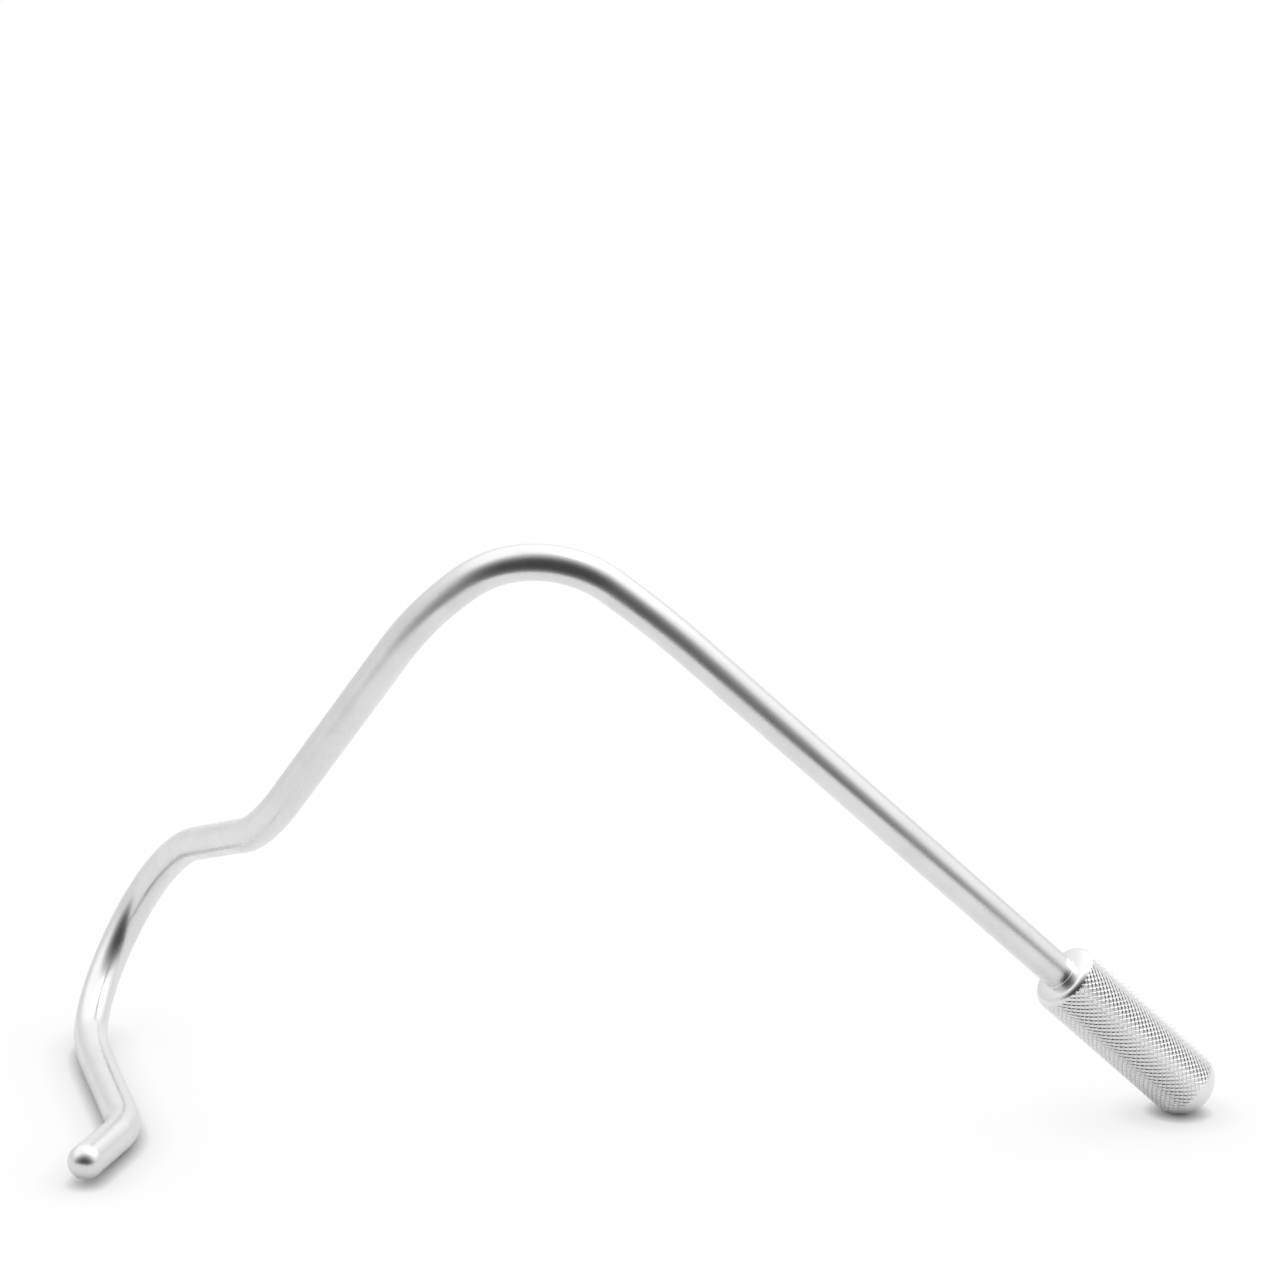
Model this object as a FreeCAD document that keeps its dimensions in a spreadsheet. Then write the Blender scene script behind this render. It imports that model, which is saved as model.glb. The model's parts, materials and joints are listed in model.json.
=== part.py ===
"""Handheld surgical retractor: a round steel rod bent in space, with a short turned handle on its end.

Millimetres, +Z up. The retractor stands as it does on a table, on three places: the dome of its handle,
the bottom of its hook and the heel bend before its tip. The origin is on the table, under the middle of
the object's box. +X goes to the handle's side and the hook is on -X.

Each piece is modelled on its own axis first. That bench frame has its origin at the middle of the
handle's front face, with +X along the rod where it leaves the handle. The stance then sets both pieces
down on the table with one placement, worked out from the three places that carry them.
"""
import FreeCAD, Part
import math
import os

import Sketcher
from FreeCAD import Placement, Rotation, Vector

SIZES = [
    ("rod_diameter", 5.0, "round bar stock"),
    ("end_chamfer", 0.4, "broken edge on the rod's end in the handle"),
    ("shaft_run", 75.0, "straight rod from the handle's face to its first bend"),
    ("shoulder_run", 31.5, "straight rod from the apex to the shoulder bend"),
    ("arm_run", 24.0, "straight rod from the shoulder bend to the hook"),
    ("floor_run", 22.5, "straight rod from the hook to the heel bend"),
    ("tip_run", 13.5, "from the heel bend to the end of the tip"),
    ("tip_corner", 2.4, "radius round the tip's end, which makes it all but a half ball"),
    ("sway_angle", 6.5, "degrees, long slight bend at the shaft's end"),
    ("sway_radius", 145.0, "its centreline radius"),
    ("apex_angle", 80.0, "degrees, tight bend at the top"),
    ("apex_radius", 15.0, "its centreline radius"),
    ("ease_angle", 17.5, "degrees, easier bend that the apex runs out in"),
    ("ease_radius", 52.0, "its centreline radius"),
    ("shoulder_turn", -96.0, "degrees about the rod, from the plane of the bends before it"),
    ("shoulder_angle", 40.0, "degrees, sideways bend before the arm"),
    ("shoulder_radius", 21.0, "its centreline radius"),
    ("hook_entry_turn", 180.0, "degrees about the rod, to bend the other way"),
    ("hook_entry_angle", 29.5, "degrees, easier bend into the hook"),
    ("hook_entry_radius", 26.5, "its centreline radius"),
    ("hook_turn", 2.0, "degrees about the rod, from the plane of its entry"),
    ("hook_angle", 124.0, "degrees, the hook itself"),
    ("hook_radius", 16.0, "its centreline radius"),
    ("hook_exit_turn", -25.0, "degrees about the rod, from the plane of the hook"),
    ("hook_exit_angle", 7.0, "degrees, long slight bend out of the hook"),
    ("hook_exit_radius", 75.0, "its centreline radius"),
    ("heel_turn", 136.5, "degrees about the rod, from the plane of the bend before it"),
    ("heel_angle", 30.0, "degrees, bend that lifts the tip"),
    ("heel_radius", 17.0, "its centreline radius"),
    ("handle_diameter", 10.3, "over the grip"),
    ("handle_length", 32.0, "front face to the end of the dome"),
    ("face_corner", 1.0, "radius round the front face"),
    ("face_crown", 0.3, "height that the front face stands out at the rod"),
    ("seat_depth", 14.0, "depth of the blind bore that the rod's end stands in"),
    ("braze_gap", 0.05, "gap round the rod in its bore"),
    ("heading", 18.0, "degrees from +X to the handle's direction on the table"),
]

# The rod's steps in order from the handle. A run is straight, and a bend reads its angle, its radius and,
# where it leaves the plane of the bend before it, its turn from the rows named after it
STEPS = ["shaft_run", "sway", "apex", "ease", "shoulder_run", "shoulder", "arm_run",
         "hook_entry", "hook", "hook_exit", "floor_run", "heel", "tip_run"]

# The bends whose lowest points stand on the table
HOOK_SUPPORT = ("hook", "hook_exit")
HEEL_SUPPORT = ("heel",)

# Rounds of setting the plane down under the three supports, each nearer than the last
STANCE_ROUNDS = 30

# How near an edge's middle lies to the end of the rod that it rounds
NEAR = 0.01


def make_sheet(doc):
    """The driving dimensions, one row each: name, number, and what it is."""
    sheet = doc.addObject("Spreadsheet::Sheet", "Sizes")
    for row, (alias, value, meaning) in enumerate(SIZES, start=1):
        sheet.set(f"A{row}", alias)
        sheet.set(f"B{row}", str(value))
        sheet.set(f"C{row}", meaning)
        sheet.setAlias(f"B{row}", alias)
    doc.recompute()
    return sheet


class Bend:
    """One arc of the centreline: where it starts, its direction and inward normal there, and its sweep."""

    def __init__(self, name, start, along, inward, angle, radius):
        self.name = name
        self.start = start
        self.along = along
        self.inward = inward
        self.angle = angle
        self.radius = radius
        self.centre = start + inward * radius

    def point(self, swept):
        return self.centre + (self.along * math.sin(swept) - self.inward * math.cos(swept)) * self.radius

    def direction(self, swept):
        return self.along * math.cos(swept) + self.inward * math.sin(swept)

    def normal(self, swept):
        return self.inward * math.cos(swept) - self.along * math.sin(swept)

    def lowest(self, up):
        """The point of this arc that lies lowest against the direction up."""
        swept = math.atan2(-self.along.dot(up), self.inward.dot(up))
        return self.point(min(max(swept, 0.0), self.angle))


def follow_rod(sheet):
    """Walk along the rod from the handle's face: the edges of its centreline, and its bends."""
    named = {name for name, *_ in SIZES}
    place, along, inward = Vector(0, 0, 0), Vector(1, 0, 0), Vector(0, 1, 0)
    edges, bends = [], []
    for step in STEPS:
        if step in named:
            ahead = place + along * sheet.get(step)
            edges.append(Part.LineSegment(place, ahead).toShape())
            place = ahead
            continue
        if step + "_turn" in named:
            inward = Rotation(along, sheet.get(step + "_turn")).multVec(inward)
        angle = math.radians(sheet.get(step + "_angle"))
        bend = Bend(step, place, along, inward, angle, sheet.get(step + "_radius"))
        place = bend.point(angle)
        edges.append(Part.Arc(bend.start, bend.point(angle / 2), place).toShape())
        along, inward = bend.direction(angle), bend.normal(angle)
        bends.append(bend)
    return edges, bends


def make_rod(doc, sheet, edges):
    """The rod: a circle swept along the centreline, its hidden end chamfered and its tip rounded."""
    seat = Vector(-sheet.seat_depth, 0, 0)
    line = doc.addObject("Part::Feature", "Centreline")
    line.Shape = Part.Wire([Part.LineSegment(seat, Vector(0, 0, 0)).toShape()] + edges)

    circle = doc.addObject("Part::Circle", "RodSection")
    circle.Placement = Placement(seat, Rotation(Vector(0, 1, 0), 90))
    circle.setExpression("Radius", "Sizes.rod_diameter / 2")

    bar = doc.addObject("Part::Sweep", "BentBar")
    bar.Sections = [circle]
    bar.Spine = (line, [])
    bar.Solid = True
    bar.Frenet = False
    doc.recompute()

    chamfer = doc.addObject("Part::Chamfer", "SeatChamfer")
    chamfer.Base = bar
    chamfer.Edges = [(end_edge(bar.Shape, seat), sheet.end_chamfer, sheet.end_chamfer)]
    doc.recompute()

    tip_end = edges[-1].Vertexes[-1].Point
    rod = doc.addObject("Part::Fillet", "BentRod")
    rod.Label = "bent_rod"
    rod.Base = chamfer
    rod.Edges = [(end_edge(chamfer.Shape, tip_end), sheet.tip_corner, sheet.tip_corner)]
    return rod


def end_edge(shape, place):
    """The number of the round edge that is centred on a place."""
    for number, edge in enumerate(shape.Edges, start=1):
        if edge.isClosed() and edge.CenterOfMass.distanceToPoint(place) < NEAR:
            return number
    raise ValueError("no round edge there")


def coincide(sketch, first, first_end, second, second_end):
    sketch.addConstraint(Sketcher.Constraint("Coincident", first, first_end, second, second_end))


def size(sketch, kind, *where, value, formula):
    """A dimension of a sketch, at its value now and bound to the sheet by a formula."""
    number = sketch.addConstraint(Sketcher.Constraint(kind, *where, value))
    sketch.setExpression(f"Constraints[{number}]", formula)


def origin_plane(body, role):
    return next(plane for plane in body.Origin.OriginFeatures if plane.Role == role)


def new_sketch(body, name):
    sketch = body.newObject("Sketcher::SketchObject", name)
    sketch.AttachmentSupport = (origin_plane(body, "XY_Plane"), [""])
    sketch.MapMode = "FlatFace"
    return sketch


def draw_handle(sketch, sheet):
    """Half the handle's outline over its axis: crowned face, rounded corner, barrel and dome."""
    radius = sheet.handle_diameter / 2
    length, corner, crown = sheet.handle_length, sheet.face_corner, sheet.face_crown
    reach = radius - corner
    face_radius = (reach**2 + crown**2) / (2 * crown)
    flare = math.asin(reach / face_radius)
    tip, rim = Vector(crown, 0, 0), Vector(0, reach, 0)
    up = Vector(0, 0, 1)

    face_circle = Part.Circle(Vector(crown - face_radius, 0, 0), up, face_radius)
    face = sketch.addGeometry(Part.ArcOfCircle(face_circle, 0, flare))
    corner_circle = Part.Circle(Vector(-corner, reach, 0), up, corner)
    bend = sketch.addGeometry(Part.ArcOfCircle(corner_circle, flare, math.pi / 2))
    barrel = sketch.addGeometry(Part.LineSegment(Vector(-corner, radius, 0), Vector(radius - length, radius, 0)))
    dome_circle = Part.Circle(Vector(radius - length, 0, 0), up, radius)
    dome = sketch.addGeometry(Part.ArcOfCircle(dome_circle, math.pi / 2, math.pi))
    axis = sketch.addGeometry(Part.LineSegment(Vector(-length, 0, 0), tip))

    sketch.addConstraint(Sketcher.Constraint("Tangent", face, 2, bend, 1))
    sketch.addConstraint(Sketcher.Constraint("Tangent", bend, 2, barrel, 1))
    sketch.addConstraint(Sketcher.Constraint("Tangent", barrel, 2, dome, 1))
    coincide(sketch, dome, 2, axis, 1)
    coincide(sketch, axis, 2, face, 1)
    for line, point in ((axis, 1), (axis, 2), (face, 3), (dome, 3)):
        sketch.addConstraint(Sketcher.Constraint("PointOnObject", line, point, -1))
    sketch.addConstraint(Sketcher.Constraint("Horizontal", barrel))
    sketch.addConstraint(Sketcher.Constraint("PointOnObject", face, 2, -2))
    size(sketch, "Radius", bend, value=corner, formula="Sizes.face_corner")
    size(sketch, "DistanceY", -1, 1, barrel, 1, value=radius, formula="Sizes.handle_diameter / 2")
    size(sketch, "DistanceX", axis, 1, -1, 1, value=length, formula="Sizes.handle_length")
    size(sketch, "DistanceX", -1, 1, axis, 2, value=crown, formula="Sizes.face_crown")


def draw_bore(sketch, sheet):
    """Half the bore's outline over its axis, from its flat bottom to past the crowned face."""
    radius = sheet.rod_diameter / 2 + sheet.braze_gap
    bottom, mouth = -sheet.seat_depth, sheet.face_crown + sheet.face_corner
    corners = [Vector(bottom, 0, 0), Vector(mouth, 0, 0), Vector(mouth, radius, 0), Vector(bottom, radius, 0)]
    sides = [sketch.addGeometry(Part.LineSegment(start, end))
             for start, end in zip(corners, corners[1:] + corners[:1])]
    for here, there in zip(sides, sides[1:] + sides[:1]):
        coincide(sketch, here, 2, there, 1)
    for side, level in zip(sides, ("Horizontal", "Vertical") * 2):
        sketch.addConstraint(Sketcher.Constraint(level, side))
    axis, end, wall, _ = sides
    sketch.addConstraint(Sketcher.Constraint("PointOnObject", axis, 1, -1))
    size(sketch, "DistanceX", axis, 1, -1, 1, value=-bottom, formula="Sizes.seat_depth")
    size(sketch, "DistanceX", -1, 1, end, 1, value=mouth, formula="Sizes.face_crown + Sizes.face_corner")
    size(sketch, "DistanceY", end, 1, end, 2, value=radius, formula="Sizes.rod_diameter / 2 + Sizes.braze_gap")


def make_handle(doc, sheet):
    """The handle: turned from bar, then bored from its front face for the rod's end."""
    body = doc.addObject("PartDesign::Body", "Handle")
    body.Label = "knurled_handle"

    outline = new_sketch(body, "HandleOutline")
    draw_handle(outline, sheet)
    turned = body.newObject("PartDesign::Revolution", "Turned")
    turned.Profile = outline
    turned.ReferenceAxis = (outline, ["H_Axis"])
    turned.Angle = 360
    doc.recompute()

    bore = new_sketch(body, "BoreOutline")
    draw_bore(bore, sheet)
    bored = body.newObject("PartDesign::Groove", "Bored")
    bored.Profile = bore
    bored.ReferenceAxis = (bore, ["H_Axis"])
    bored.Angle = 360
    doc.recompute()
    return body


def lowest_of(bends, names, up):
    points = [bend.lowest(up) for bend in bends if bend.name in names]
    return min(points, key=up.dot)


def find_up(sheet, bends):
    """The direction that points up when the dome, the hook and the heel stand on one plane."""
    rod_radius = sheet.rod_diameter / 2
    dome_radius = sheet.handle_diameter / 2
    dome_centre = Vector(dome_radius - sheet.handle_length, 0, 0)
    hook_bend = next(bend for bend in bends if bend.name == "hook")
    up = (hook_bend.start - hook_bend.point(hook_bend.angle / 2)).normalize()
    for _ in range(STANCE_ROUNDS):
        dome = dome_centre - up * dome_radius
        hook = lowest_of(bends, HOOK_SUPPORT, up) - up * rod_radius
        heel = lowest_of(bends, HEEL_SUPPORT, up) - up * rod_radius
        plane = (hook - dome).cross(heel - dome).normalize()
        up = plane if plane.dot(up) > 0 else plane * -1
    return up


def stand(doc, sheet, bends, pieces):
    """Turn the pieces on to their three supports, then set the origin under the middle of their box."""
    up = find_up(sheet, bends)
    handle_way = Vector(-1, 0, 0)
    forward = (handle_way - up * handle_way.dot(up)).normalize()
    level = Rotation(forward, up.cross(forward), up, "ZXY").inverted()
    turn = Rotation(Vector(0, 0, 1), sheet.heading).multiply(level)
    for piece in pieces:
        piece.Placement = Placement(Vector(0, 0, 0), turn)
    doc.recompute()
    box = FreeCAD.BoundBox()
    for piece in pieces:
        box.add(piece.Shape.optimalBoundingBox(False))
    down = Vector(-box.Center.x, -box.Center.y, -box.ZMin)
    for piece in pieces:
        piece.Placement = Placement(down, turn)
    doc.recompute()


def check(doc, pieces):
    """Stop before anything is written if a feature failed or a piece isn't one whole solid."""
    for item in doc.Objects:
        if "Invalid" in item.State or "Error" in item.State:
            raise RuntimeError(item.Label + " failed")
    for piece in pieces:
        if piece.Shape.isNull() or not piece.Shape.isValid() or len(piece.Shape.Solids) != 1:
            raise RuntimeError(piece.Label + " is not one valid solid")


def report(sheet, bends, rod, handle):
    """Print the sizes that a reader would check by hand."""
    length = sum(edge.Length for edge in rod.Base.Base.Spine[0].Shape.Edges)
    section = math.pi * (sheet.rod_diameter / 2) ** 2
    print(f"rod: {length:.1f} mm of bar, volume {rod.Shape.Volume:.0f}, section times length {section * length:.0f}")
    overlap = rod.Shape.common(handle.Shape).Volume
    print(f"handle: volume {handle.Shape.Volume:.0f}, overlap with the rod {overlap:.4f}")
    box = rod.Shape.optimalBoundingBox(False)
    box.add(handle.Shape.optimalBoundingBox(False))
    print(f"box: {box.XLength:.1f} x {box.YLength:.1f} x {box.ZLength:.1f}, lowest {box.ZMin:.4f}")
    centre, out = handle.Placement.Base, handle.Placement.Rotation.multVec(Vector(-1, 0, 0))
    print("handle face centre", [round(v, 3) for v in centre], "axis out", [round(v, 5) for v in out])
    for bend in bends:
        middle = handle.Placement.multVec(bend.point(bend.angle / 2))
        print(f"{bend.name:11s} middle", [round(v, 2) for v in middle])


def main():
    doc = FreeCAD.newDocument("Retractor")
    sheet = make_sheet(doc)
    edges, bends = follow_rod(sheet)
    rod = make_rod(doc, sheet, edges)
    handle = make_handle(doc, sheet)
    pieces = [rod, handle]
    stand(doc, sheet, bends, pieces)
    check(doc, pieces)
    report(sheet, bends, rod, handle)
    os.makedirs("parts", exist_ok=True)
    for piece in pieces:
        piece.Shape.exportStep(f"parts/{piece.Label}.step")


main()
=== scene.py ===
# %% [markdown]
# # A hand-held retractor in bent steel bar
#
# The object has two pieces: one length of round stainless bar, bent eight times, and a short turned
# handle with a diamond knurl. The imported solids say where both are. This lesson models each of them again
# with a finer surface, gives them their finish, and sets up a white studio with a camera.

# %% Load the frame
import json
import math

import bmesh
import bpy
from mathutils import Matrix, Vector


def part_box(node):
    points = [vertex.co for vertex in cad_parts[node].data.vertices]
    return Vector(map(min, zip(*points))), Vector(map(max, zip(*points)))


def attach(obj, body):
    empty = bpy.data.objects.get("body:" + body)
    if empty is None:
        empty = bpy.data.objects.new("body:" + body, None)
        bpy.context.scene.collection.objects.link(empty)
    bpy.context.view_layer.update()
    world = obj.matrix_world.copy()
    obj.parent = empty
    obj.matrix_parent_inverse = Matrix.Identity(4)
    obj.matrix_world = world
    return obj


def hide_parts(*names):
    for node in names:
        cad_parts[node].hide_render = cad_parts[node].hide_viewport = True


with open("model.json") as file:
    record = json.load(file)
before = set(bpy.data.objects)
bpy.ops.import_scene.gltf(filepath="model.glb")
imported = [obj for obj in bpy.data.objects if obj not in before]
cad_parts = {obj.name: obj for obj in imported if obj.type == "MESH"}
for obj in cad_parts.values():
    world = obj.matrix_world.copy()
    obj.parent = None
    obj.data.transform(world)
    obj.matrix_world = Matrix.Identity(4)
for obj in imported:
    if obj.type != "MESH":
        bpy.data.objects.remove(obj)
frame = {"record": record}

for name in ("Cube", "Light", "Camera"):
    if name in bpy.data.objects:
        bpy.data.objects.remove(bpy.data.objects[name])

MM = 0.001
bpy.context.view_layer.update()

# %% [markdown]
# ## The bench frame
#
# Both pieces are modelled as they would be on a bench, around one line: the handle's own axis. The bench
# frame has its origin at the middle of the handle's front face and +X along the bar where it leaves the
# handle. Working there keeps every bend a plain number. At the end one matrix sets a piece down where the
# frame has it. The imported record's grip mount gives that matrix all but its turn about the axis.

# %% Place the bench frame
GRIP = next(mount for mount in frame["record"]["mounts"] if mount["name"] == "grip")
HANDLE_RADIUS = GRIP["dims"]["r_mm"] * MM
BARREL_LENGTH = GRIP["dims"]["length_mm"] * MM
FACE_CORNER = 1.0 * MM
FIRST_BEND_TWIST = math.radians(-121.09)

along = -Vector(GRIP["axis"]).normalized()
FACE_CENTRE = Vector(GRIP["pos_m"]) + along * (BARREL_LENGTH / 2 + FACE_CORNER)
level_side = Vector((0, 0, 1)).cross(along).normalized()
first_inward = Matrix.Rotation(FIRST_BEND_TWIST, 3, along) @ level_side
STAND = Matrix.Translation(FACE_CENTRE) @ Matrix(
    (along, first_inward, along.cross(first_inward))).transposed().to_4x4()
print("handle face, mm:", [round(value / MM, 2) for value in FACE_CENTRE])


# %% [markdown]
# ## A few hand tools
#
# The modelling below is done with the same operators that a person uses in edit mode. Each of them acts on
# whatever is selected, so these helpers start clean, select by place, and say where a selection's middle is.

# %% Hand tools
def nothing_selected():
    if bpy.context.object and bpy.context.object.mode != "OBJECT":
        bpy.ops.object.mode_set(mode="OBJECT")
    bpy.ops.object.select_all(action="DESELECT")


def selected_middle():
    """The middle of the selected vertices in edit mode."""
    mesh = bmesh.from_edit_mesh(bpy.context.object.data)
    chosen = [vertex.co for vertex in mesh.verts if vertex.select]
    return sum(chosen, Vector()) / len(chosen)


def select_where(kind, test):
    """In edit mode, select the vertices, edges or faces that pass a test."""
    bpy.ops.mesh.select_all(action="DESELECT")
    mesh = bmesh.from_edit_mesh(bpy.context.object.data)
    items = {"VERT": mesh.verts, "EDGE": mesh.edges, "FACE": mesh.faces}[kind]
    bpy.ops.mesh.select_mode(type=kind)
    items.ensure_lookup_table()
    for item in items:
        item.select_set(test(item))
    mesh.select_flush_mode()
    bmesh.update_edit_mesh(bpy.context.object.data)
    return sum(1 for item in items if item.select)


def push(way):
    bpy.ops.mesh.extrude_region_move(TRANSFORM_OT_translate={"value": way})


def stand_up(piece):
    """Set a bench piece down in the frame, with its place in its mesh."""
    nothing_selected()
    piece.select_set(True)
    bpy.context.view_layer.objects.active = piece
    piece.matrix_world = STAND @ piece.matrix_world
    bpy.ops.object.transform_apply(location=True, rotation=True, scale=True)


def triangles(piece):
    return sum(len(face.vertices) - 2 for face in piece.data.polygons)


# %% [markdown]
# ## The bent bar
#
# On the real object this is one straight bar that was bent cold, one bend after another, each in its own
# plane. A curve with a round bevel would look much the same, but its twists are hard to steer. Here the
# bar grows the way it was made: a ring is extruded for each straight run and spun about the bend's centre
# for each bend. The list is the bending order that a workshop would use: the run before each bend, the
# turn about the bar that sets the bend's plane, the angle, and the radius of the centreline.

# %% Bending order
BAR_RADIUS = 2.5 * MM
SEAT_DEPTH = 14.0 * MM
END_CHAMFER = 0.4 * MM
BENDS = [
    ("sway", 75.0, 0.0, 6.5, 145.0),
    ("apex", 0.0, 0.0, 80.0, 15.0),
    ("ease", 0.0, 0.0, 17.5, 52.0),
    ("shoulder", 31.5, -96.0, 40.0, 21.0),
    ("hook_entry", 24.0, 180.0, 29.5, 26.5),
    ("hook", 0.0, 2.0, 124.0, 16.0),
    ("hook_exit", 0.0, -25.0, 7.0, 75.0),
    ("heel", 22.5, 136.5, 30.0, 17.0),
]
TIP_RUN = 13.5 * MM
TIP_CORNER = 2.4 * MM
RING_POINTS = 96
DEGREES_PER_STEP = 1.5
SMOOTH_BELOW = math.radians(35)

# %% Grow the bar
nothing_selected()
bpy.ops.mesh.primitive_circle_add(
    vertices=RING_POINTS, radius=BAR_RADIUS - END_CHAMFER, fill_type="NGON",
    location=(-SEAT_DEPTH, 0, 0), rotation=(0, math.pi / 2, 0))
bar = bpy.context.object
bar.name = "satin_bar"
bpy.ops.object.transform_apply(location=True, rotation=True, scale=True)
bpy.ops.object.mode_set(mode="EDIT")
bpy.ops.mesh.select_mode(type="EDGE")
bpy.ops.mesh.select_all(action="SELECT")
select_where("EDGE", lambda edge: edge.is_boundary)

push((END_CHAMFER, 0, 0))
grow = BAR_RADIUS / (BAR_RADIUS - END_CHAMFER)
bpy.ops.transform.resize(value=(1, grow, grow), center_override=selected_middle())
push((SEAT_DEPTH - END_CHAMFER, 0, 0))

place, along_bar, inward = Vector((0, 0, 0)), Vector((1, 0, 0)), Vector((0, 1, 0))
for name, run, turn, angle, radius in BENDS:
    if run:
        push(along_bar * run * MM)
        place = place + along_bar * run * MM
    inward = Matrix.Rotation(math.radians(turn), 3, along_bar) @ inward
    centre = place + inward * radius * MM
    hinge = along_bar.cross(inward)
    bpy.ops.mesh.spin(steps=math.ceil(angle / DEGREES_PER_STEP), angle=-math.radians(angle),
                      center=centre, axis=hinge, use_auto_merge=False)
    swing = Matrix.Rotation(math.radians(angle), 3, hinge)
    place = centre + swing @ (place - centre)
    along_bar, inward = swing @ along_bar, swing @ inward
    miss = (selected_middle() - place).length / MM
    print(f"{name}: {angle} degrees, ring off its mark by {miss:.4f} mm")
push(along_bar * TIP_RUN)
TIP_END = place + along_bar * TIP_RUN
bpy.ops.mesh.edge_face_add()

# %% [markdown]
# ## The tip
#
# The bar's free end is ground to a half ball, so that it doesn't cut what it holds. The end is a flat disc so
# far. Bevelling its rim with a round profile, nearly as far in as the middle, gives the ball, and poking the
# small disc that is left closes its pole with a fan of triangles.

# %% Round the tip
TIP_STEPS = 20

select_where("EDGE", lambda edge: all((vertex.co - TIP_END).dot(along_bar) > -1e-6 for vertex in edge.verts))
bpy.ops.mesh.bevel(offset=TIP_CORNER, offset_type="OFFSET", segments=TIP_STEPS, profile=0.5, affect="EDGES")
select_where("FACE", lambda face: len(face.verts) == RING_POINTS
             and (face.calc_center_median() - TIP_END).length < BAR_RADIUS)
bpy.ops.mesh.poke()
bpy.ops.mesh.select_all(action="SELECT")
bpy.ops.mesh.normals_make_consistent(inside=False)
bpy.ops.object.mode_set(mode="OBJECT")
bpy.ops.object.shade_smooth_by_angle(angle=SMOOTH_BELOW)
print("bar:", triangles(bar), "triangles")

# %% [markdown]
# ## The turned blank of the handle
#
# On a lathe the blank is one outline, turned about one line: a dome, the barrel, a rounded corner, a front that
# is flat at the bar and eases into the corner, the thin ring of braze around the bar, and the bore that the
# bar stands in. A cylinder with bevels would leave out the last three. Here the outline is drawn as a chain
# of points, and spun.

# %% Draw the outline
AROUND = 148
HANDLE_LENGTH = BARREL_LENGTH + FACE_CORNER + HANDLE_RADIUS
DOME_CENTRE = HANDLE_RADIUS - HANDLE_LENGTH
ROUNDING = 1.2 * MM
FACE_TILT = 12.0
BRAZE = 0.12 * MM
BORE_RADIUS = BAR_RADIUS + 0.002 * MM
DOME_STEPS, CORNER_STEPS, EASE_STEPS, BRAZE_STEPS = 37, 14, 5, 5
SAME_PLACE = 1e-7


def arc(centre, radius, start, end, steps):
    """Points from one angle to another: 0 looks along the axis, and 90 away from it."""
    angles = [math.radians(start + (end - start) * step / steps) for step in range(steps + 1)]
    return [(centre[0] + radius * math.cos(angle), centre[1] + radius * math.sin(angle)) for angle in angles]


lean = math.radians(FACE_TILT)
flat_radius = BAR_RADIUS + BRAZE
easing = (HANDLE_RADIUS - ROUNDING * (1 - math.sin(lean)) - flat_radius) / math.sin(lean)
rounding_centre = -easing * (1 - math.cos(lean)) - ROUNDING * math.cos(lean)
dome = arc((DOME_CENTRE, 0), HANDLE_RADIUS, 180, 90, DOME_STEPS)
corner = arc((rounding_centre, HANDLE_RADIUS - ROUNDING), ROUNDING, 90, FACE_TILT, CORNER_STEPS)
ease = arc((-easing, flat_radius), easing, FACE_TILT, 0, EASE_STEPS)[1:]
braze = arc((BRAZE, flat_radius), BRAZE - BORE_RADIUS + BAR_RADIUS, 180, 270, BRAZE_STEPS)[1:]
bore = [(-SEAT_DEPTH, BORE_RADIUS), (-SEAT_DEPTH, 0)]
outline = dome + corner + ease + braze + bore
print("outline:", len(outline), "points, corner from", round(rounding_centre / MM, 2), "mm")

# %% Turn the blank
nothing_selected()
bpy.ops.mesh.primitive_plane_add(size=MM, location=(outline[0][0], 0, 0))
blank = bpy.context.object
blank.name = "turned_blank"
bpy.ops.object.transform_apply(location=True, rotation=True, scale=True)
bpy.ops.object.mode_set(mode="EDIT")
bpy.ops.mesh.select_mode(type="VERT")
bpy.ops.mesh.select_all(action="SELECT")
bpy.ops.mesh.merge(type="CENTER")
bpy.ops.mesh.select_all(action="SELECT")
for (x, radius), (next_x, next_radius) in zip(outline, outline[1:]):
    push((next_x - x, next_radius - radius, 0))
bpy.ops.mesh.select_all(action="SELECT")
bpy.ops.mesh.spin(steps=AROUND, angle=2 * math.pi, center=(0, 0, 0), axis=(1, 0, 0), use_auto_merge=False)
bpy.ops.mesh.select_all(action="SELECT")
bpy.ops.mesh.remove_doubles(threshold=SAME_PLACE)
bpy.ops.mesh.normals_make_consistent(inside=False)
bpy.ops.object.mode_set(mode="OBJECT")
print("blank:", triangles(blank), "triangles")

# %% [markdown]
# ## The diamond knurl
#
# Two knurling wheels press crossed grooves into the bar, and the lathe then turns the dome and the front
# corner, which cuts the pattern off where they begin. Both steps are followed here. A plain cylinder's
# square faces are poked, and the squares' own edges dissolved: what is left are diamonds that stand on
# their points. Each is inset by itself and raised, twice, into a low block with sloping sides. The Boolean
# modifier then keeps what the blocks and the turned blank share, so their tops follow the barrel, and the
# grooves run out on the dome and on the front corner as the real ones do.

# %% Knurl the barrel
DIAMONDS_AROUND = 37
DIAMOND_LENGTH = 0.955 * MM
GROOVE_DEPTH = 0.1 * MM
KNURL_START = -0.7 * MM
RUN_OUT = 1.5 * MM
FLANKS = [(0.07, 0.06), (0.07, 0.045)]
CUT_ALLOWANCE = 0.3 * MM
FRONT_ALLOWANCE = 2.0 * MM
FACETS_ABOVE = math.radians(30)

knurl_rows = round((KNURL_START - DOME_CENTRE + RUN_OUT) / DIAMOND_LENGTH)
knurl_length = knurl_rows * DIAMOND_LENGTH
root_radius = HANDLE_RADIUS - GROOVE_DEPTH

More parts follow.
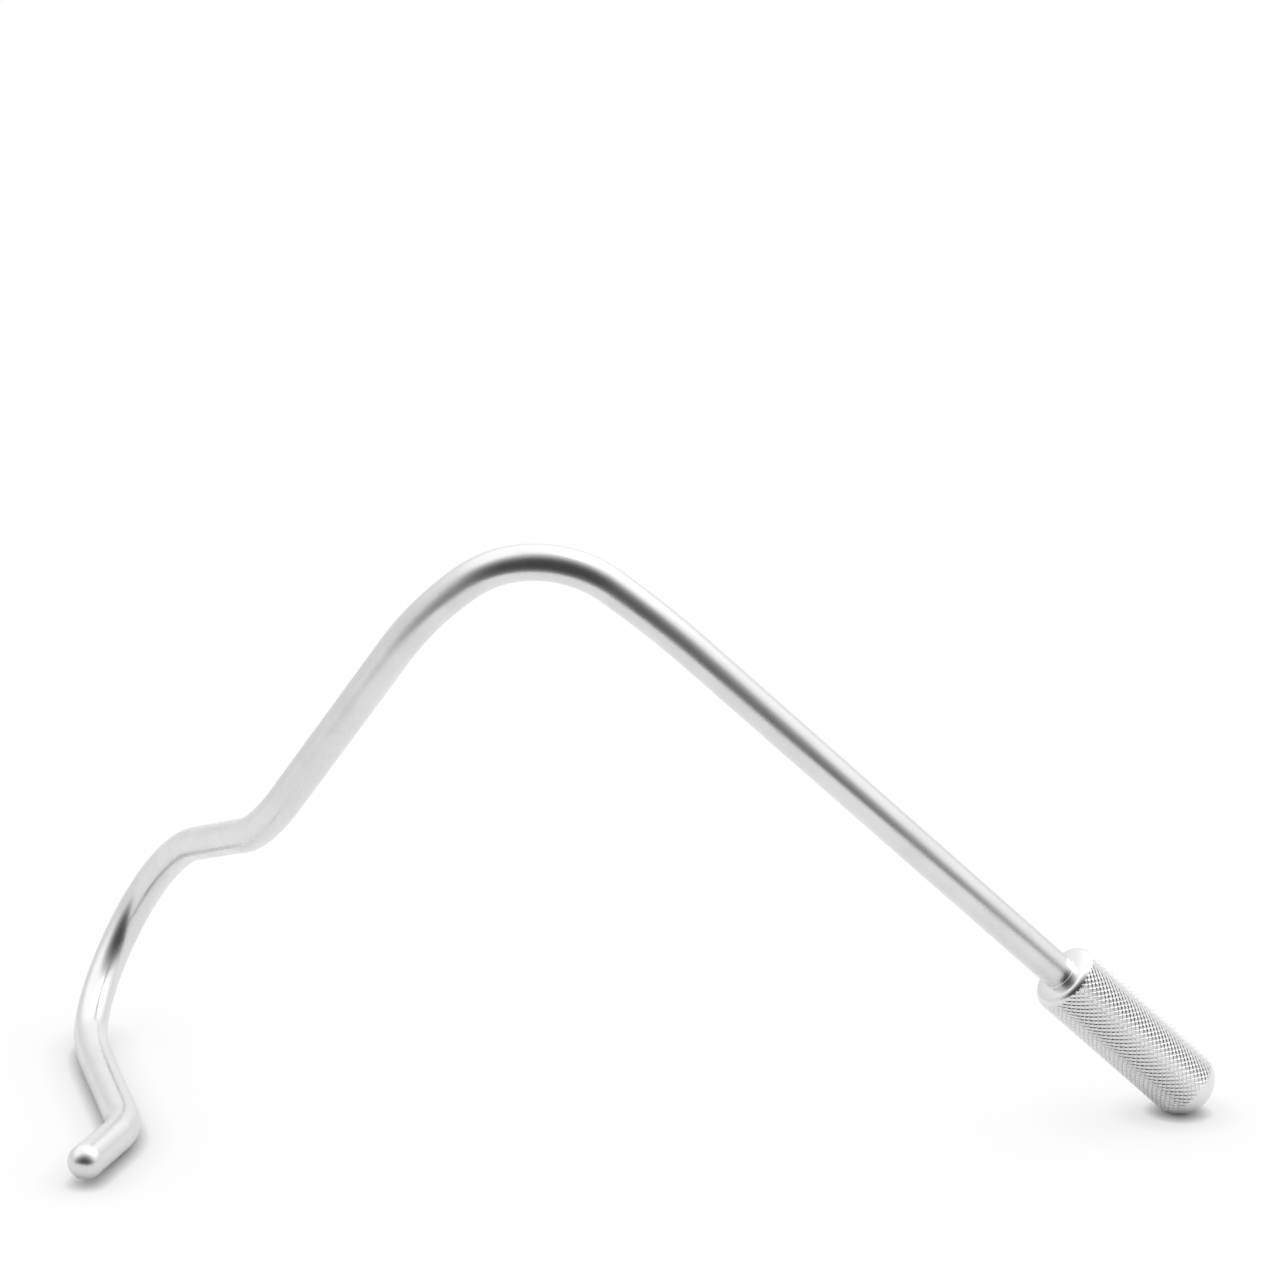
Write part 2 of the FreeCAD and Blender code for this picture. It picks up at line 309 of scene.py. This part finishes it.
nothing_selected()
bpy.ops.mesh.primitive_cylinder_add(
    vertices=DIAMONDS_AROUND, radius=root_radius, depth=knurl_length, end_fill_type="NOTHING",
    location=(KNURL_START - knurl_length / 2, 0, 0), rotation=(0, math.pi / 2, 0))
handle = bpy.context.object
handle.name = "knurled_grip"
bpy.ops.object.transform_apply(location=True, rotation=True, scale=True)
bpy.ops.object.mode_set(mode="EDIT")
select_where("EDGE", lambda edge: not edge.is_boundary)
bpy.ops.mesh.subdivide_edgering(number_cuts=knurl_rows - 1, interpolation="LINEAR", smoothness=0)


def rounded(vertex):
    return tuple(round(value / SAME_PLACE) for value in vertex.co)


corners = {rounded(vertex) for vertex in bmesh.from_edit_mesh(handle.data).verts}


def is_corner(vertex):
    return rounded(vertex) in corners


bpy.ops.mesh.select_all(action="SELECT")
bpy.ops.mesh.poke()
select_where("VERT", lambda vertex: not is_corner(vertex))
round_out = 1 / math.cos(math.pi / DIAMONDS_AROUND)
bpy.ops.transform.resize(value=(1, round_out, round_out), center_override=(0, 0, 0))
select_where("EDGE", lambda edge: not edge.is_boundary and all(is_corner(vertex) for vertex in edge.verts))
bpy.ops.mesh.dissolve_edges(use_verts=False)
diamonds = select_where("FACE", lambda face: True)
for inset, rise in FLANKS:
    bpy.ops.mesh.inset(thickness=inset * MM, depth=rise * MM, use_individual=True, use_boundary=True)
print("knurl:", diamonds, "diamonds in", knurl_rows, "rows")

# %% Close the knurled bar past both ends and cut it with the blank
select_where("EDGE", lambda edge: edge.is_boundary and edge.verts[0].co.x > KNURL_START - DIAMOND_LENGTH)
push((0, 0, 0))
lift = (HANDLE_RADIUS + CUT_ALLOWANCE) / root_radius
bpy.ops.transform.resize(value=(1, lift, lift), center_override=(0, 0, 0))
push((-KNURL_START + FRONT_ALLOWANCE, 0, 0))
bpy.ops.mesh.edge_face_add()
select_where("EDGE", lambda edge: edge.is_boundary)
push((-HANDLE_LENGTH - CUT_ALLOWANCE - selected_middle().x, 0, 0))
bpy.ops.mesh.edge_face_add()
bpy.ops.mesh.select_all(action="SELECT")
bpy.ops.mesh.normals_make_consistent(inside=False)
bpy.ops.object.mode_set(mode="OBJECT")

turn = handle.modifiers.new("turn", "BOOLEAN")
turn.operation = "INTERSECT"
turn.object = blank
turn.solver = "EXACT"
bpy.ops.object.modifier_apply(modifier=turn.name)
bpy.data.objects.remove(blank)
bpy.ops.object.mode_set(mode="EDIT")
bpy.ops.mesh.select_all(action="SELECT")
bpy.ops.mesh.remove_doubles(threshold=SAME_PLACE)
bpy.ops.mesh.normals_make_consistent(inside=False)
bpy.ops.object.mode_set(mode="OBJECT")
bpy.ops.object.shade_smooth_by_angle(angle=FACETS_ABOVE)
print("handle:", triangles(handle), "triangles")

# %% [markdown]
# ## How deep each point lies
#
# Here the grooves of the knurl are a shade darker than the crests, and less shiny, since handling polishes
#  the crests. The material has to know which is which, so the handle gets an attribute: each point's depth
#  below the turned surface, from 0 on a crest to 1 at the bottom of a groove. It is worked out here, while the
#  handle is still on the bench.

# %% Measure the grooves
depth = handle.data.attributes.new("groove", "FLOAT", "POINT")
for vertex, record in zip(handle.data.vertices, depth.data):
    x, across = vertex.co.x, math.hypot(vertex.co.y, vertex.co.z)
    turned = HANDLE_RADIUS
    if x < DOME_CENTRE:
        turned = math.sqrt(max(HANDLE_RADIUS ** 2 - (x - DOME_CENTRE) ** 2, 0))
    elif x > rounding_centre:
        past = min(x - rounding_centre, ROUNDING)
        turned = HANDLE_RADIUS - ROUNDING + math.sqrt(ROUNDING ** 2 - past ** 2)
    inside = (turned - across) / GROOVE_DEPTH
    record.value = min(max(inside, 0), 1) if x < KNURL_START else 0.0
print("points in grooves:", sum(record.value > 0.5 for record in depth.data))

# %% Stand both pieces up
stand_up(bar)
stand_up(handle)
for piece, node in ((bar, "bent_rod"), (handle, "knurled_handle")):
    for axis, (low, high) in enumerate(zip(*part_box(node))):
        own = [vertex.co[axis] for vertex in piece.data.vertices]
        print(node, "xyz"[axis], "solid", round(low / MM, 2), round(high / MM, 2),
              "model", round(min(own) / MM, 2), round(max(own) / MM, 2))

# %% [markdown]
# ## Shader arithmetic
#
# The finishes below are short sums over noise, and a node tree written out link by link hides the sum. This
# class wraps one socket and lets Python's own operators build the Math nodes. Any other node comes from its
# one method, `node`.

# %% A socket that can be calculated with
class Shade:
    def __init__(self, tree, socket):
        self.tree = tree
        self.socket = socket

    def node(self, kind, inputs, out=0, settings=None):
        """Add a node: its settings first, then numbers or shades for its sockets. Gives one of its outputs."""
        made = self.tree.nodes.new(kind)
        for name, setting in (settings or {}).items():
            setattr(made, name, setting)
        for name, value in inputs.items():
            if isinstance(value, Shade):
                self.tree.links.new(value.socket, made.inputs[name])
            else:
                made.inputs[name].default_value = value
        return Shade(self.tree, made.outputs[out])

    def math(self, operation, first, second):
        return self.node("ShaderNodeMath", {0: first, 1: second}, settings={"operation": operation})

    def __add__(self, other):
        return self.math("ADD", self, other)

    def __rsub__(self, other):
        return self.math("SUBTRACT", other, self)

    def __mul__(self, other):
        return self.math("MULTIPLY", self, other)

    def __pow__(self, other):
        return self.math("POWER", self, other)

    def smooth(self, low, high):
        """0 below the low mark, 1 above the high one, and smooth between them."""
        return self.node("ShaderNodeMapRange", {"Value": self, "From Min": low, "From Max": high},
                         settings={"interpolation_type": "SMOOTHSTEP"})

    def noise(self, scale, detail):
        return self.node("ShaderNodeTexNoise", {"Vector": self, "Scale": scale, "Detail": detail})

    def tint(self, dark, light):
        """A colour between two, by this shade."""
        return self.node("ShaderNodeMix", {"Factor": self, 6: (*dark, 1), 7: (*light, 1)}, out=2,
                         settings={"data_type": "RGBA"})

    def bump(self, height, strength):
        return self.node("ShaderNodeBump", {"Height": self, "Distance": height, "Strength": strength})

    def feed(self, shader, name):
        self.tree.links.new(self.socket, shader.inputs[name])


def new_finish(name):
    """A material, its shader, and the piece's own coordinates in metres to start a shade from."""
    material = bpy.data.materials.new(name)
    material.use_nodes = True
    tree = material.node_tree
    spot = tree.nodes.new("ShaderNodeTexCoord").outputs["Object"]
    return material, tree.nodes["Principled BSDF"], Shade(tree, spot)


# %% [markdown]
# ## Satin stainless steel
#
# The bar was bent bright and then blasted with fine glass beads, which gives stainless steel its even, silky
# grey: light and dark areas still show in it, with soft edges. The roughness wanders a little where hands
# have been, and a bump from very fine noise stands for the marks of the beads.

# %% Finish of the bar
BAR_METAL = (0.78, 0.78, 0.775)
BAR_METAL_DULL = (0.75, 0.75, 0.745)
BAR_ROUGHNESS, HANDLED_ROUGHNESS = 0.24, 0.05
HANDLED_PATCHES, BEAD_MARKS = 140.0, 6500.0
MARK_DEPTH, MARK_STRENGTH = 0.03 * MM, 0.25

material, shader, spot = new_finish("bead_blasted_steel")
shader.inputs["Metallic"].default_value = 1.0
handled = spot.noise(HANDLED_PATCHES, 3.0).smooth(0.35, 0.65)
handled.tint(BAR_METAL, BAR_METAL_DULL).feed(shader, "Base Color")
(handled * HANDLED_ROUGHNESS + BAR_ROUGHNESS).feed(shader, "Roughness")
spot.noise(BEAD_MARKS, 2.0).bump(MARK_DEPTH, MARK_STRENGTH).feed(shader, "Normal")
bar.data.materials.append(material)

# %% [markdown]
# ## The handle's steel
#
# Crests, face and dome are polished, and the grooves are a shade darker and less shiny.

# %% Finish of the handle
HANDLE_METAL = (0.81, 0.81, 0.805)
GROOVE_METAL = (0.79, 0.79, 0.785)
HANDLE_ROUGHNESS, GROOVE_ROUGHNESS, WORN_ROUGHNESS = 0.2, 0.1, 0.05
WORN_PATCHES = 200.0

material, shader, spot = new_finish("knurled_steel")
shader.inputs["Metallic"].default_value = 1.0
depth_below = spot.node("ShaderNodeAttribute", {}, out="Fac", settings={"attribute_name": "groove"})
groove = depth_below.smooth(0.1, 0.9)
groove.tint(HANDLE_METAL, GROOVE_METAL).feed(shader, "Base Color")
worn = spot.noise(WORN_PATCHES, 2.0).smooth(0.3, 0.7)
(groove * GROOVE_ROUGHNESS + worn * WORN_ROUGHNESS + HANDLE_ROUGHNESS).feed(shader, "Roughness")
handle.data.materials.append(material)

# %% Hang each piece from the root body and hide its imported solid
for piece, node, slot in ((bar, "bent_rod", "rod_steel"), (handle, "knurled_handle", "handle_steel")):
    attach(piece, "root")
    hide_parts(node)

# %% [markdown]
# ## A white table
#
# Polished metal shows its surroundings, so they are built as carefully as the object. The table is a white
# sheet whose front edge lies just below the picture. That edge is the lower border of the dark band along
# the bar. To the camera the sheet is plain white with soft shadows, as in a picture that was lit for
# a catalogue: most of what the camera sees of it is its own light, and so is a smaller part of what mirrors
# in the metal. Ambient Occlusion nodes dim that light where something stands on the sheet: one for the deep
# shadow at the contact, and two of longer reach for the soft one around it.

# %% Table
TABLE_FRONT = -0.102
TABLE_BACK = 1.6
TABLE_SIDE = 1.4
TABLE_WHITE = 0.8
TABLE_ROUGHNESS = 0.9
TABLE_GLOW = 0.92
MIRRORED_GLOW = 0.12
NEAR_FLOOR, FAR_FLOOR = 0.25, 0.8
SHADOWS = ((2.2 * MM, 0.95), (6.0 * MM, 0.3), (15.0 * MM, 0.15))

nothing_selected()
bpy.ops.mesh.primitive_plane_add(size=1, location=(0, (TABLE_FRONT + TABLE_BACK) / 2, 0))
table = bpy.context.object
table.name = "table"
bpy.ops.transform.resize(value=(2 * TABLE_SIDE, TABLE_BACK - TABLE_FRONT, 1))
bpy.ops.object.transform_apply(location=True, rotation=True, scale=True)

material, shader, spot = new_finish("white_sheet")
shader.inputs["Base Color"].default_value = (TABLE_WHITE, TABLE_WHITE, TABLE_WHITE, 1)
shader.inputs["Roughness"].default_value = TABLE_ROUGHNESS
shader.inputs["Specular IOR Level"].default_value = 0.0
path = material.node_tree.nodes.new("ShaderNodeLightPath")
camera_ray = Shade(material.node_tree, path.outputs["Is Camera Ray"])
mirror_ray = (Shade(material.node_tree, path.outputs["Is Glossy Ray"])
              + Shade(material.node_tree, path.outputs["Is Transmission Ray"]))
contact, near, wide = [
    spot.node("ShaderNodeAmbientOcclusion", {"Distance": reach}, out="AO", settings={"samples": 1})
    * darkness + (1 - darkness) for reach, darkness in SHADOWS]
open_sky = contact * near * wide
glow = spot.node("ShaderNodeEmission", {"Color": open_sky.tint((0, 0, 0), (1, 1, 1)), "Strength": 1.0})
from_middle = spot.node("ShaderNodeVectorMath", {0: spot}, out="Value", settings={"operation": "LENGTH"})
far = from_middle.smooth(NEAR_FLOOR, FAR_FLOOR)
own_light = camera_ray * (far * (1 - TABLE_GLOW) + TABLE_GLOW) + mirror_ray * MIRRORED_GLOW
surface = spot.node("ShaderNodeMixShader", {
    0: own_light, 1: Shade(material.node_tree, shader.outputs["BSDF"]), 2: glow})
surface.feed(material.node_tree.nodes["Material Output"], "Surface")
table.data.materials.append(material)

# %% [markdown]
# ## The room
#
# The room is a world shader that reads the direction of each ray. Overhead it is bright, the walls are a
# little dimmer, and toward the camera there is the dark of the open front, in a soft-edged round patch. The
# camera itself sees plain white, and so does the metal where it mirrors what lies behind the object.

# %% Room
DARK_TILT = 1.5
DARK_CORE, DARK_RIM = 0.92, 0.30
DARK_FADE = 1.45
DARK_LEVEL = 0.055
WALL_LEVEL = 0.77
CEILING_RISE = 0.43
CEILING_TILT = 0.1
CEILING_FROM, CEILING_FULL = 0.1, 0.65
BEHIND = (0.8, 0.95)

world = bpy.data.worlds.new("room")
bpy.context.scene.world = world
world.use_nodes = True
tree = world.node_tree
way = Shade(tree, tree.nodes.new("ShaderNodeTexCoord").outputs["Generated"])
across = way.node("ShaderNodeSeparateXYZ", {"Vector": way}, out="X")
upward = way.node("ShaderNodeSeparateXYZ", {"Vector": way}, out="Z")
front = (0, -math.cos(math.radians(DARK_TILT)), math.sin(math.radians(DARK_TILT)))
toward = way.node(
    "ShaderNodeVectorMath", {0: way, 1: front}, out="Value", settings={"operation": "DOT_PRODUCT"})
ceiling = (upward + across * CEILING_TILT).smooth(CEILING_FROM, CEILING_FULL)
walls = ceiling * CEILING_RISE + WALL_LEVEL
clear = toward.node("ShaderNodeMapRange", {
    "Value": toward, "From Min": DARK_RIM, "From Max": DARK_CORE, "To Min": 1.0, "To Max": 0.0})
room = walls * clear ** DARK_FADE + DARK_LEVEL
path = tree.nodes.new("ShaderNodeLightPath")
camera_ray = Shade(tree, path.outputs["Is Camera Ray"])
mirror_ray = Shade(tree, path.outputs["Is Glossy Ray"]) + Shade(tree, path.outputs["Is Transmission Ray"])
white = camera_ray + mirror_ray * (0 - toward).smooth(*BEHIND)
tree.nodes["Background"].inputs["Color"].default_value = (1, 1, 1, 1)
room.math("MAXIMUM", room, white).feed(tree.nodes["Background"], "Strength")

# %% Lamp
LAMP_PLACE = (0.35, 0.25, 0.8)
LAMP_SIZE = 0.9
LAMP_POWER = 2.5

nothing_selected()
bpy.ops.object.light_add(type="AREA", location=LAMP_PLACE)
lamp = bpy.context.object
lamp.name = "ceiling_light"
lamp.data.size = LAMP_SIZE
lamp.data.energy = LAMP_POWER
lamp.rotation_euler = (-Vector(LAMP_PLACE)).to_track_quat("-Z", "Y").to_euler()

# %% [markdown]
# ## The camera
#
# The view is that of a long lens from half a metre away and a little above, tilted down by 14 degrees.

# %% Camera
CAMERA_PLACE = (0.0002, -0.48752, 0.1886)
CAMERA_PITCH = 76.352
CAMERA_ROLL = 0.765
CAMERA_LENS = 99.23
SENSOR_WIDTH = 36.0

camera_data = bpy.data.cameras.new("camera")
camera = bpy.data.objects.new("camera", camera_data)
bpy.context.scene.collection.objects.link(camera)
camera.matrix_world = (Matrix.Translation(CAMERA_PLACE) @ Matrix.Rotation(math.radians(CAMERA_PITCH), 4, "X")
                       @ Matrix.Rotation(math.radians(CAMERA_ROLL), 4, "Z"))
camera_data.lens = CAMERA_LENS
camera_data.sensor_width = SENSOR_WIDTH
bpy.context.scene.camera = camera
bpy.context.scene.view_settings.view_transform = "Standard"
